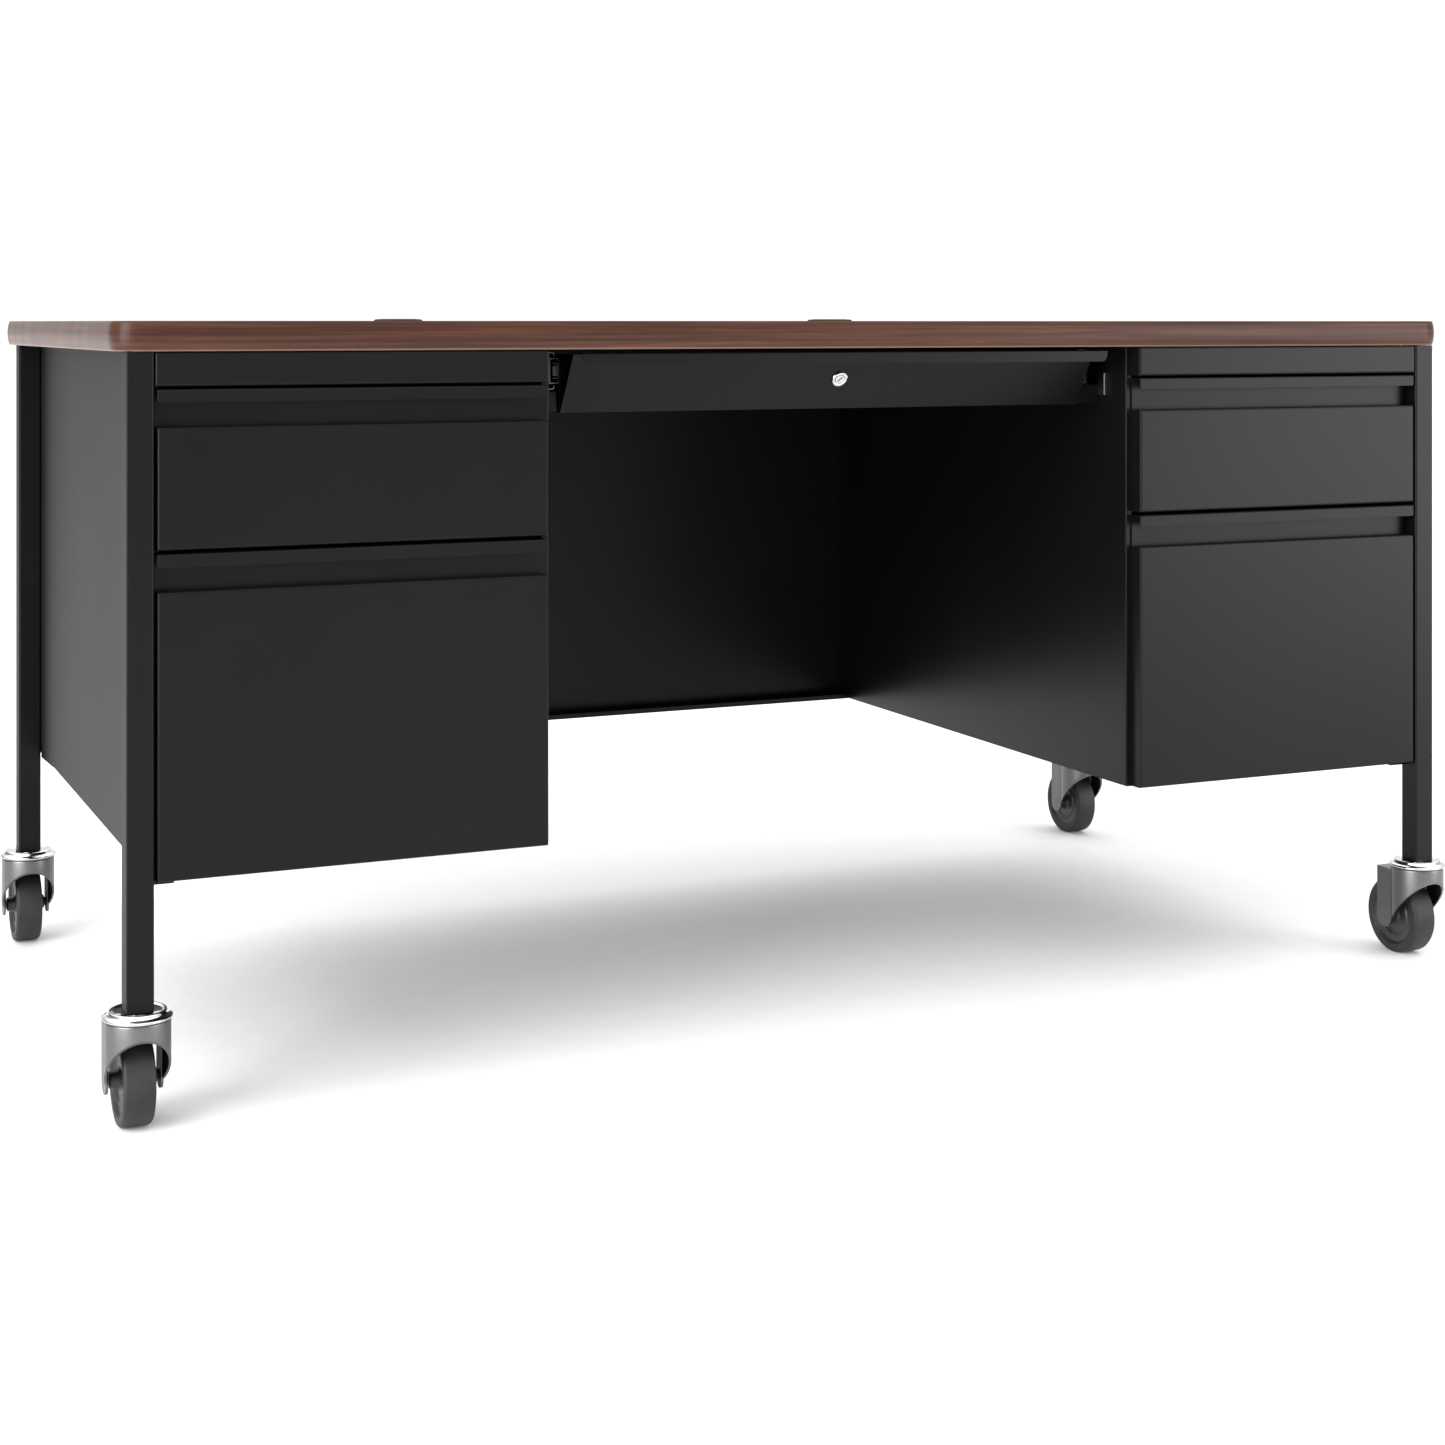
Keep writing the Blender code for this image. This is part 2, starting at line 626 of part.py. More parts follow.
def slide_bracket(word, side):
    """Folded bracket that hangs the centre slide from the top and the pedestal."""
    y0, y1 = SLIDE_Y[0] - 1.2, 120.0
    x_wall = INNER_X - 0.3
    z_top = TOP_Z - TOP_T - 0.4
    plate = SLIDE_WALL_X + 0.4
    boxes = [(plate, plate + SHEET, y0, y1, 651.6, z_top),
             (plate, x_wall, y0, y1, z_top - SHEET, z_top),
             (309.0, x_wall, y0, y1, 651.6, 653.1),
             (309.0, x_wall, y0, y0 + SHEET, 651.6, 672.0),
             (x_wall - SHEET, x_wall, y0, y1, 651.6, 662.0)]
    bm = fused_boxes(mirrored(boxes, side))
    round_edges(bm, 0.5, 1, lambda m, d: m.y < y0 + 0.1)
    add_object("centre_bracket_" + word, bm, "black_powder_coat", (side * 321.0, y0, z_top))


def slide_clip(word, side):
    """Small bare-metal clip on the pedestal side, in front of the bracket."""
    x_wall = INNER_X - 0.3
    boxes = [(x_wall - 1.5, x_wall, -322.0, -304.0, 660.4, 685.3),
             (x_wall - 4.6, x_wall, -322.0, -320.5, 660.4, 685.3)]
    bm = fused_boxes(mirrored(boxes, side))
    round_edges(bm, 0.4, 1, lambda m, d: m.y < -319.0)
    add_object("centre_clip_" + word, bm, "zinc_plate", (side * x_wall, -322.0, 673.0))


def centre_drawer():
    centre_front()
    centre_tray()
    lock()
    for side, word in ((-1, "left"), (1, "right")):
        slide_parts(word, side)
        slide_bracket(word, side)
        slide_clip(word, side)


# ---------------------------------------------------------------- casters
def caster_collar(word, x, y):
    """Chrome bearing dish with its stem up in the leg and kingpin down in the fork."""
    profile = [(0.0, 97.6), (8.6, 97.6), (8.6, 98.3), (6.0, 98.3), (6.0, 106.5), (31.0, 106.5),
               (32.0, 107.9), (31.0, 109.3), (27.8, 110.6), (26.5, 113.2), (25.2, 114.2),
               (23.4, 113.9), (21.4, 112.5), (9.6, 112.5), (9.6, 150.0), (0.0, 150.0)]
    add_object("caster_collar_" + word, turned(profile, (x, y, 0.0), (0, 0, 1), 24),
               "chrome", (x, y, 106.5))


def fork_mesh():
    """Caster fork about its own swivel axis: hooded cup, side struts and axle."""
    cup = turned([(0.0, 106.1), (28.0, 106.1), (29.4, 105.4), (FORK_R, 104.2), (FORK_R, 20.0),
                  (FORK_R - FORK_T, 20.0), (FORK_R - FORK_T, 101.6), (0.0, 101.6)],
                 (0, 0, 0), (0, 0, 1), 28)
    obj = add_object("fork_master", cup, "zinc_plate", (0, 0, 0))
    # Slanted mouth of the hood
    mouth = fused_boxes([(-60.0, 60.0, -200.0, 200.0, -200.0, 0.0)])
    tilt = math.atan(1.14)
    mouth.transform(Matrix.Translation((0.0, 0.0, 58.1)) @ Matrix.Rotation(-tilt, 4, "X"))
    cut_with(obj, mouth, (0, 0, 0), "cutter_mouth")
    # Open back, where the wheel comes through
    back = fused_boxes([(-60.0, 60.0, 13.0, 60.0, -10.0, 98.4)])
    cut_with(obj, back, (0, 0, 0), "cutter_back")
    apply_steps(obj)
    # Side struts round the axle, joined by the top plate
    parts = []
    for side in (-1, 1):
        outline = [(14.6, 101.0), (14.6, 46.0)]
        outline += arc_points(26.9, 43.4, 12.3, 180, 360, 8)
        outline += [(39.2, 101.0)]
        rings = []
        for x in (side * (STRUT_X - 2.4), side * STRUT_X):
            rings.append([Vector((x, y, z)) for y, z in outline])
        parts.append(loft(rings))
    parts.append(fused_boxes([(-STRUT_X, STRUT_X, 4.0, 39.2, 98.6, 101.0),
                              (-18.0, 18.0, 4.0, 20.0, 98.6, 102.6)]))
    head = STRUT_X - 0.3
    parts.append(turned([(0.0, -head), (AXLE_R - 0.8, -head), (AXLE_R, -head + 0.5),
                         (AXLE_R, head - 0.5), (AXLE_R - 0.8, head), (0.0, head)],
                        (0.0, TRAIL, WHEEL_R), (1, 0, 0), 14))
    for index, bm in enumerate(parts):
        tool = add_object("cutter_fork_%d" % index, bm, "zinc_plate", (0, 0, 0))
        step = obj.modifiers.new(tool.name, "BOOLEAN")
        step.operation = "UNION"
        step.solver = "EXACT"
        step.object = tool
    pin_hole = turned([(0.0, 90.0), (6.08, 90.0), (6.08, 110.0), (0.0, 110.0)],
                      (0, 0, 0), (0, 0, 1), 24)
    cut_with(obj, pin_hole, (0, 0, 0), "cutter_pin")
    apply_steps(obj)
    mesh = obj.data
    bpy.data.objects.remove(obj, do_unlink=True)
    return mesh


def wheel_mesh():
    """Solid wheel with its hub, as one turned ring about the axle."""
    half = WHEEL_W / 2
    bore = AXLE_R + CLEAR
    right = [(bore, 21.4), (9.6, 21.4), (13.0, 11.2), (20.8, 10.4), (22.6, 12.4), (25.6, 10.2),
             (31.4, 10.6), (33.0, 13.8), (39.0, half), (42.3, half - 2.2), (WHEEL_R, half - 6.4)]
    left = [(radius, -height) for radius, height in reversed(right)]
    return turned(right + left, (0, 0, 0), (1, 0, 0), 28)


def placed_copy(name, mesh, x, y, z):
    obj = bpy.data.objects.new(name, mesh.copy())
    obj.data.name = name
    obj.location = Vector((x, y - ORIGIN_Y, z)) * MM
    bpy.context.scene.collection.objects.link(obj)
    return obj


def casters():
    fork = fork_mesh()
    for word, x, y in corner_spots():
        caster_collar(word, x, y)
        placed_copy("caster_fork_" + word, fork, x, y, 0.0)
        add_object("caster_wheel_" + word, shifted(wheel_mesh(), (x, y + TRAIL, WHEEL_R)),
                   "wheel_rubber", (x, y + TRAIL, WHEEL_R))


def shifted(bm, offset):
    bm.transform(Matrix.Translation(offset))
    return bm


def corner_spots():
    return (("front_left", -LEG_X, LEG_Y_FRONT), ("front_right", LEG_X, LEG_Y_FRONT),
            ("back_left", -LEG_X, LEG_Y_BACK), ("back_right", LEG_X, LEG_Y_BACK))


def build():
    clear_scene()
    desktop()
    for side, word in ((-1, "left"), (1, "right")):
        grommet(word, side)
        pedestal(word, side)
    for word, x, y in corner_spots():
        leg(word, x, y)
    back_panel()
    centre_drawer()
    casters()


build()
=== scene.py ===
"""Looks for the teacher desk: materials, finer pieces over the CAD frame, light and camera."""
import json
import math

import bmesh
import bpy
from mathutils import Matrix, Vector


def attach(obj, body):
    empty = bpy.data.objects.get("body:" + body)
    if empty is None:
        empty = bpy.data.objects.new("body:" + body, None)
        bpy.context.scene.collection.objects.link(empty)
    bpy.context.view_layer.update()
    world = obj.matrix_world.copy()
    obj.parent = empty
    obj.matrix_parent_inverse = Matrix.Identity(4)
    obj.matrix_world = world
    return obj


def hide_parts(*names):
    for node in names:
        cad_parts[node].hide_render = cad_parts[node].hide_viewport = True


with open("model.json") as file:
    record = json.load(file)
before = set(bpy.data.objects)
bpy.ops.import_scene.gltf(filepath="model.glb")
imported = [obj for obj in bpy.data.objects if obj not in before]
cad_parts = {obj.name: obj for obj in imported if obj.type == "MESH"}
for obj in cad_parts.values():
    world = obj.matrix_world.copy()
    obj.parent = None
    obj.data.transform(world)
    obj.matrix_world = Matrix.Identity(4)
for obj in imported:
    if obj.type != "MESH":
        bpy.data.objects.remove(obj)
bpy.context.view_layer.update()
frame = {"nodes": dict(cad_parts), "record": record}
nodes = frame["nodes"]
MM = 0.001

# ------------------------------------------------------------------ node helpers


class Look:
    """A Principled material built up node by node."""

    def __init__(self, name, **sockets):
        self.mat = bpy.data.materials.new(name)
        self.mat.use_nodes = True
        self.tree = self.mat.node_tree
        self.shader = self.tree.nodes["Principled BSDF"]
        for key, value in sockets.items():
            self.shader.inputs[key.replace("_", " ")].default_value = value
        self.coords = self.tree.nodes.new("ShaderNodeTexCoord")

    def add(self, kind, inputs=None, **settings):
        node = self.tree.nodes.new("ShaderNode" + kind)
        for key, value in settings.items():
            setattr(node, key, value)
        for key, value in (inputs or {}).items():
            self.feed(node.inputs[key], value)
        return node

    def feed(self, socket, value):
        if isinstance(value, bpy.types.NodeSocket):
            self.tree.links.new(value, socket)
        else:
            socket.default_value = value

    def place(self, scale=(1, 1, 1), turn=(0, 0, 0), source="Object"):
        return self.add("Mapping", {"Vector": self.coords.outputs[source], "Scale": scale,
                                    "Rotation": turn}).outputs["Vector"]

    def noise(self, where, scale, detail=2.0, rough=0.5, distortion=0.0):
        return self.add("TexNoise", {"Vector": where, "Scale": scale, "Detail": detail,
                                     "Roughness": rough, "Distortion": distortion}).outputs["Fac"]

    def remap(self, value, low, high, out_low, out_high):
        return self.add("MapRange", {"Value": value, "From Min": low, "From Max": high,
                                     "To Min": out_low, "To Max": out_high}).outputs["Result"]

    def ramp(self, value, stops):
        node = self.add("ValToRGB", {"Fac": value})
        bar = node.color_ramp
        while len(bar.elements) < len(stops):
            bar.elements.new(0.5)
        for element, (spot, colour) in zip(bar.elements, stops):
            element.position = spot
            element.color = (*colour, 1.0)
        return node.outputs["Color"]

    def mix(self, fac, a, b, mode="MIX"):
        node = self.add("Mix", data_type="RGBA", blend_type=mode)
        self.feed(node.inputs[0], fac)
        for socket, value in ((node.inputs[6], a), (node.inputs[7], b)):
            self.feed(socket, value if isinstance(value, bpy.types.NodeSocket) else (*value, 1.0))
        return node.outputs[2]

    def math(self, operation, a, b=0.0):
        node = self.add("Math", operation=operation)
        self.feed(node.inputs[0], a)
        self.feed(node.inputs[1], b)
        return node.outputs[0]

    def bump(self, height, distance, strength=1.0, normal=None):
        inputs = {"Height": height, "Distance": distance, "Strength": strength}
        if normal is not None:
            inputs["Normal"] = normal
        return self.add("Bump", inputs).outputs["Normal"]

    def set(self, name, value):
        self.feed(self.shader.inputs[name], value)
        return self


# ------------------------------------------------------------------ materials


def powder_coat():
    """Satin black powder coat: orange peel, faint cloudiness, a little dust."""
    look = Look("black_powder_coat_look", Specular_IOR_Level=0.27,
                Specular_Tint=(0.52, 0.52, 0.52, 1.0))
    place = look.place()
    cloud = look.noise(place, 3.2, 4.0, 0.6)
    peel = look.noise(place, 620.0, 2.0, 0.45)
    fine = look.noise(place, 2400.0, 1.0, 0.5)
    look.set("Base Color", look.ramp(cloud, ((0.3, (0.0030, 0.0030, 0.0032)),
                                             (0.7, (0.0046, 0.0046, 0.0048)))))
    satin = look.remap(look.math("ADD", cloud, look.math("MULTIPLY", fine, 0.25)),
                       0.3, 1.0, 0.29, 0.36)
    facing = look.add("LayerWeight", {"Blend": 0.5}).outputs["Facing"]
    look.set("Roughness", look.math("ADD", satin, look.remap(facing, 0.55, 0.9, 0.0, 0.26)))
    rough = look.bump(peel, 0.00002, 0.45)
    look.set("Normal", look.bump(fine, 0.000005, 0.5, rough))
    return look.mat


def laminate(name, source, grain_axis, edge=False):
    """Dark walnut wood-grain laminate; grain runs along the given axis of the coordinates."""
    look = Look(name, Specular_IOR_Level=0.15)

    def stretch(along, across):
        return tuple(along if i == grain_axis else across for i in range(3))

    wander = look.noise(look.place(stretch(0.9, 3.0), source=source), 1.0, 2.0, 0.5)
    broad = look.noise(look.place(stretch(1.1, 40.0 if edge else 12.0), source=source),
                       1.0, 4.0, 0.62, 0.7)
    streak = look.noise(look.place(stretch(4.4, 260.0 if edge else 150.0), source=source),
                        1.0, 4.0, 0.6, 0.3)
    pore = look.noise(look.place(stretch(22.0, 1500.0), source=source), 1.0, 2.0, 0.5)
    tone = look.math("ADD", look.math("MULTIPLY", broad, 0.5), look.math("MULTIPLY", streak, 0.5))
    tone = look.math("ADD", tone, look.math("MULTIPLY", look.math("SUBTRACT", wander, 0.5), 0.2))
    colour = look.ramp(tone, ((0.30, (0.022, 0.010, 0.007)), (0.45, (0.042, 0.017, 0.011)),
                              (0.56, (0.066, 0.027, 0.017)), (0.72, (0.118, 0.050, 0.033))))
    dark = look.remap(pore, 0.30, 0.44, 1.0, 0.0)
    colour = look.mix(look.math("MULTIPLY", dark, 0.4), colour, (0.030, 0.012, 0.008))
    if edge:
        # Painted highlight: a pale band over the lowest 2 mm of the edge band stands in for the
        # floor's reflection in the lower rounding
        across = look.add("SeparateXYZ", {"Vector": look.coords.outputs["UV"]}).outputs["Y"]
        painted_highlight = look.remap(across, 0.0006, 0.0022, 0.45, 0.0)
        colour = look.mix(painted_highlight, colour, (0.30, 0.20, 0.16))
        ripple = look.noise(look.place((17.0, 2.0, 1.0), source=source), 1.0, 3.0, 0.6)
        look.set("Roughness", look.remap(ripple, 0.3, 0.7, 0.28, 0.34))
    else:
        look.set("Roughness", look.remap(streak, 0.3, 0.7, 0.40, 0.32))
    look.set("Base Color", colour)
    relief = look.math("SUBTRACT", streak, look.math("MULTIPLY", dark, 0.6))
    look.set("Normal", look.bump(relief, 0.00003, 0.4))
    return look.mat


def zinc(name="zinc_look", tint=(0.150, 0.152, 0.157), low=0.30, high=0.44):
    """Bright zinc plate: cloudy roughness, fine rolling lines and a faint warm-cool drift."""
    look = Look(name, Metallic=1.0)
    place = look.place()
    cloud = look.noise(place, 55.0, 3.0, 0.6)
    lines = look.noise(look.place((900.0, 900.0, 70.0)), 1.0, 2.0, 0.5)
    warm = tuple(c * f for c, f in zip(tint, (1.06, 1.0, 0.90)))
    look.set("Base Color", look.mix(look.remap(cloud, 0.35, 0.7, 0.0, 1.0), tint, warm))
    look.set("Roughness", look.remap(look.math("ADD", cloud, look.math("MULTIPLY", lines, 0.4)),
                                     0.4, 1.0, low, high))
    look.set("Normal", look.bump(lines, 0.00001, 0.4))
    return look.mat


def chrome():
    look = Look("chrome_look", Metallic=1.0)
    place = look.place()
    haze = look.noise(place, 120.0, 3.0, 0.6)
    look.set("Base Color", look.mix(haze, (0.62, 0.625, 0.64), (0.68, 0.68, 0.68)))
    look.set("Roughness", look.remap(haze, 0.3, 0.75, 0.05, 0.13))
    look.set("Normal", look.bump(look.noise(place, 900.0, 1.0), 0.000004, 0.4))
    return look.mat


def moulded(name, dark, light, rough, grain=1500.0, depth=0.00003, specular=0.45):
    """Moulded rubber or plastic with a spark-eroded grain and some dust in the tone."""
    look = Look(name, Specular_IOR_Level=specular)
    place = look.place()
    cloud = look.noise(place, 40.0, 4.0, 0.6)
    speck = look.noise(place, grain, 2.0, 0.55)
    look.set("Base Color", look.mix(look.remap(cloud, 0.3, 0.7, 0.0, 1.0), dark, light))
    look.set("Roughness", look.remap(speck, 0.3, 0.7, rough - 0.06, rough + 0.06))
    look.set("Normal", look.bump(speck, depth, 0.5))
    return look.mat


def backer():
    """Brown phenolic backer sheet under the top."""
    look = Look("backer_look", Specular_IOR_Level=0.3)
    place = look.place()
    chips = look.noise(place, 160.0, 5.0, 0.7)
    look.set("Base Color", look.ramp(chips, ((0.35, (0.030, 0.018, 0.012)),
                                             (0.65, (0.062, 0.038, 0.026)))))
    look.set("Roughness", look.remap(chips, 0.3, 0.7, 0.62, 0.5))
    look.set("Normal", look.bump(chips, 0.00005, 0.5))
    return look.mat


POWDER = powder_coat()
ZINC = zinc()
# Dark copy of the zinc: painted shade for the faces inside the fork
ZINC_PAINTED_SHADE = zinc("zinc_painted_shade_look", (0.035, 0.035, 0.037), 0.45, 0.6)
CHROME = chrome()
PLASTIC = moulded("black_plastic_look", (0.014, 0.014, 0.015), (0.022, 0.022, 0.023), 0.46)
GROMMET = moulded("grommet_look", (0.020, 0.012, 0.009), (0.032, 0.019, 0.014), 0.62,
                  specular=0.12)
RUBBER = moulded("wheel_rubber_look", (0.012, 0.012, 0.013), (0.020, 0.020, 0.021), 0.55, 700.0,
                 specular=0.36)
# Own look of the hub, also used on the tyre's dish as painted shade
HUB_AND_DISH_SHADE = moulded("wheel_hub_and_dish_shade_look", (0.018, 0.018, 0.019), (0.030, 0.030, 0.031), 0.40, 900.0)
TOP_GRAIN = laminate("walnut_laminate_look", "Object", 0)
EDGE_GRAIN = laminate("walnut_edge_look", "UV", 0, edge=True)
BACKER = backer()

LOOK_OF_SLOT = {"black_powder_coat": POWDER, "zinc_plate": ZINC, "chrome": CHROME,
                "black_plastic": PLASTIC, "wheel_rubber": RUBBER, "walnut_laminate": TOP_GRAIN}
SLOT_OF_NODE = {s["node"]: s["material_slot"] for s in frame["record"]["subparts"]}

# ------------------------------------------------------------------ mesh helpers


def smooth(obj, angle=32.0):
    for face in obj.data.polygons:
        face.use_smooth = True
    bm = bmesh.new()
    bm.from_mesh(obj.data)
    for edge in bm.edges:
        edge.smooth = edge.calc_face_angle(0.0) < math.radians(angle)
    bm.to_mesh(obj.data)
    bm.free()


def new_piece(name, bm, mat, body, replaces=()):
    bmesh.ops.recalc_face_normals(bm, faces=bm.faces)
    mesh = bpy.data.meshes.new(name)
    bm.to_mesh(mesh)
    bm.free()
    for one in mat if isinstance(mat, (list, tuple)) else (mat,):
        mesh.materials.append(one)
    obj = bpy.data.objects.new(name, mesh)
    bpy.context.scene.collection.objects.link(obj)
    smooth(obj)
    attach(obj, body)
    if replaces:
        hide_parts(*replaces)
    return obj


def soften(obj, width, segments=2, angle=30.0):
    """Rounded edges that catch the light, with flat faces kept flat."""
    weld = obj.modifiers.new("weld", "WELD")
    weld.merge_threshold = 0.000002
    step = obj.modifiers.new("soft_edges", "BEVEL")
    step.width = width
    step.segments = segments
    step.limit_method = "ANGLE"
    step.angle_limit = math.radians(angle)
    step.harden_normals = True
    step.use_clamp_overlap = True
    return obj


def turned(bm, profile, centre, axis, segments):
    """Revolve a profile of (radius, height) in metres about an axis through centre."""
    turn = Vector((0.0, 0.0, 1.0)).rotation_difference(Vector(axis)).to_matrix()
    solid = profile[0][0] == 0.0
    layers = []
    for radius, height in profile:
        count = 1 if radius == 0.0 else segments
        layer = []
        for k in range(count):
            angle = 2.0 * math.pi * k / segments
            spot = Vector((radius * math.cos(angle), radius * math.sin(angle), height))
            layer.append(bm.verts.new(Vector(centre) + turn @ spot))
        layers.append(layer)
    pairs = list(zip(layers, layers[1:]))
    if not solid:
        pairs.append((layers[-1], layers[0]))
    for low, high in pairs:
        for k in range(segments):
            n = (k + 1) % segments
            if len(low) == 1:
                bm.faces.new((low[0], high[n], high[k]))
            elif len(high) == 1:
                bm.faces.new((low[k], low[n], high[0]))
            else:
                bm.faces.new((low[k], low[n], high[n], high[k]))
    return bm


# ------------------------------------------------------------------ finer pieces

TOP_LEVELS = ((0.0, 3.2), (0.25, 2.65), (0.7, 2.2), (1.7, 1.78), (3.0, 1.45), (5.3, 0.9),
              (8.0, 0.45), (11.0, 0.12), (14.0, 0.0), (17.0, 0.12), (20.0, 0.45), (22.7, 0.9),
              (25.0, 1.45), (26.3, 1.78), (27.3, 2.2), (27.75, 2.65), (28.0, 3.2))
TOP_HALF = (0.762, 0.381)
TOP_Z = 0.743
DESK_Y = -0.01765
CAP_LEVELS = ((0.6, 0.0), (1.9, 0.0), (2.3, 0.12), (2.6, 0.4), (2.8, 0.9), (2.9, 2.0))
# Tyre faces inside this radius take the hub look as painted shade in the wheel's dish
DISH_PAINTED_SHADE_R = 0.0312
SOFT_EDGE = 0.00045
CORNERS = {"front_left": (-0.737, -0.3637), "front_right": (0.737, -0.3637),
           "back_left": (-0.737, 0.3596), "back_right": (0.737, 0.3596)}
GROMMETS = {"left": (-0.3, 0.3 + DESK_Y), "right": (0.3, 0.3 + DESK_Y)}


def top_outline(inset, z, steps=22, reach=0.036, power=2.8):
    """Outline of the top, its corners eased into the straights, shrunk evenly by inset."""
    ring = []
    for quadrant in range(4):
        turn = Matrix.Rotation(math.pi / 2 * quadrant, 2)
        sx = 1 if quadrant in (0, 3) else -1
        sy = 1 if quadrant in (0, 1) else -1
        centre = Vector((sx * (TOP_HALF[0] - reach), sy * (TOP_HALF[1] - reach) + DESK_Y))
        for k in range(steps + 1):
            t = math.pi / 2 * k / steps
            x = reach * max(math.cos(t), 0.0) ** (2 / power)
            y = reach * max(math.sin(t), 0.0) ** (2 / power)
            out = Vector((x ** (power - 1), y ** (power - 1))).normalized()
            flat = centre + turn @ (Vector((x, y)) - out * inset)
            ring.append(Vector((flat.x, flat.y, z)))
    return ring


def desktop():
    bm = bmesh.new()
    uv = bm.loops.layers.uv.new("band")
    rings = [[bm.verts.new(p) for p in top_outline(inset * MM, TOP_Z + (rise - 28.0) * MM)]
             for rise, inset in TOP_LEVELS]
    count = len(rings[0])
    run = [0.0]
    base = [v.co.copy() for v in rings[8]]
    for i in range(count):
        run.append(run[-1] + (base[(i + 1) % count] - base[i]).length)
    for (low, high), (a, b) in zip(zip(rings, rings[1:]), zip(TOP_LEVELS, TOP_LEVELS[1:])):
        for i in range(count):
            j = (i + 1) % count
            face = bm.faces.new((low[i], low[j], high[j], high[i]))
            face.material_index = 1
            spots = ((run[i], a[0]), (run[i + 1], a[0]), (run[i + 1], b[0]), (run[i], b[0]))
            for loop, (u, v) in zip(face.loops, spots):
                loop[uv].uv = (u, v * MM)
    # Top and underside with the two grommet holes
    holes = []
    for x, y in GROMMETS.values():
        wall = []
        for r, drop in ((25.3, 28.0), (25.3, 0.9), (30.4, 0.9), (30.4, 0.0)):
            wall.append([bm.verts.new((x + r * MM * math.cos(math.tau * k / 64),
                                       y + r * MM * math.sin(math.tau * k / 64),
                                       TOP_Z - drop * MM)) for k in range(64)])
        for low, high in zip(wall, wall[1:]):
            for k in range(64):
                n = (k + 1) % 64
                face = bm.faces.new((low[k], high[k], high[n], low[n]))
                face.material_index = 2
        holes.append((wall[0], wall[-1]))
    for level, outer, index in ((0, rings[0], 2), (1, rings[-1], 0)):
        loops = [outer] + [wall[level] for wall in holes]
        edges = []
        for loop in loops:
            edges += [bm.edges.get((loop[i], loop[(i + 1) % len(loop)])) for i in range(len(loop))]
        made = bmesh.ops.triangle_fill(bm, edges=edges, use_beauty=True, normal=(0, 0, 1))
        for part in made["geom"]:
            if isinstance(part, bmesh.types.BMFace):
                part.material_index = index
    new_piece("fine_desktop", bm, (TOP_GRAIN, EDGE_GRAIN, BACKER), "frame",
              ("desktop",))


def grommets():
    for word, (x, y) in GROMMETS.items():
        liner = [(25.0, -25.0), (25.0, -0.6), (29.9, -0.6), (30.0, 0.5), (29.8, 1.1), (29.3, 1.7),
                 (28.4, 2.2), (27.0, 2.5), (25.6, 2.6), (24.5, 2.45), (24.1, 2.0), (24.1, 0.2),
                 (22.6, 0.2), (22.6, -25.0)]
        bm = turned(bmesh.new(), [(r * MM, h * MM) for r, h in liner], (x, y, TOP_Z), (0, 0, 1), 80)
        new_piece("fine_grommet_liner_" + word, bm, GROMMET, "frame",
                  ("grommet_liner_" + word,))
        radius, notch = 23.86, 7.0
        bm = bmesh.new()
        layers = []
        for rise, shrink in CAP_LEVELS:
            outer, inner = radius - shrink, notch + shrink
            start = math.asin(inner / outer)
            rim = []
            for k in range(73):
                angle = math.pi / 2 + start + (2 * math.pi - 2 * start) * k / 72
                rim.append((outer * math.cos(angle), outer * math.sin(angle)))
            for k in range(19):
                angle = -math.pi * k / 18
                rim.append((inner * math.cos(angle), 12.0 + inner * math.sin(angle)))
            z = TOP_Z + rise * MM
            layers.append([bm.verts.new((x + a * MM, y + b * MM, z)) for a, b in rim])
        for low, high in zip(layers, layers[1:]):
            for i in range(len(low)):
                j = (i + 1) % len(low)
                bm.faces.new((low[i], low[j], high[j], high[i]))
        bm.faces.new(layers[0])
        bm.faces.new(layers[-1])
        new_piece("fine_grommet_cap_" + word, bm, GROMMET, "grommet_cap_" + word,
                  ("grommet_cap_" + word,))


def collar(word, x, y):
    profile = [(0.0, 97.6), (8.4, 97.6), (8.6, 97.8), (8.6, 98.3), (6.0, 98.3), (6.0, 106.5),
               (30.6, 106.5), (31.3, 106.7), (31.8, 107.2), (32.0, 107.9), (31.8, 108.6),
               (31.2, 109.2), (30.2, 109.7), (29.0, 110.1), (28.0, 110.6), (27.3, 111.4),
               (26.9, 112.4), (26.5, 113.3), (25.9, 113.9), (25.2, 114.15), (24.2, 114.1),
               (23.3, 113.7), (22.4, 113.1), (21.2, 112.6), (9.6, 112.5), (9.6, 150.0),
               (0.0, 150.0)]
    bm = turned(bmesh.new(), [(r * MM, h * MM) for r, h in profile], (x, y + DESK_Y, 0.0),
                (0, 0, 1), 96)
    new_piece("fine_collar_" + word, bm, CHROME, "frame", ("caster_collar_" + word,))


def solid(name, bm):
    bmesh.ops.recalc_face_normals(bm, faces=bm.faces)
    mesh = bpy.data.meshes.new(name)
    bm.to_mesh(mesh)
    bm.free()
    obj = bpy.data.objects.new(name, mesh)
    bpy.context.scene.collection.objects.link(obj)
    return obj


def prism(outline, x0, x1):
    """Closed body from an outline of (y, z) in millimetres between two x planes."""
    bm = bmesh.new()
    sides = [[bm.verts.new((x * MM, y * MM, z * MM)) for y, z in outline] for x in (x0, x1)]
    for i in range(len(outline)):
        j = (i + 1) % len(outline)
        bm.faces.new((sides[0][i], sides[0][j], sides[1][j], sides[1][i]))
    bm.faces.new(sides[0])
    bm.faces.new(sides[1])
    return bm


def carve(base, steps):
    """Apply boolean steps of (operation, tool), then drop the tools."""
    for operation, tool in steps:
        step = base.modifiers.new(tool.name, "BOOLEAN")
        step.operation = operation
        step.solver = "EXACT"
        step.object = tool
    bpy.context.view_layer.update()
    graph = bpy.context.evaluated_depsgraph_get()
    mesh = bpy.data.meshes.new_from_object(base.evaluated_get(graph))
    for obj in [tool for _, tool in steps] + [base]:
        bpy.data.objects.remove(obj, do_unlink=True)
    return mesh


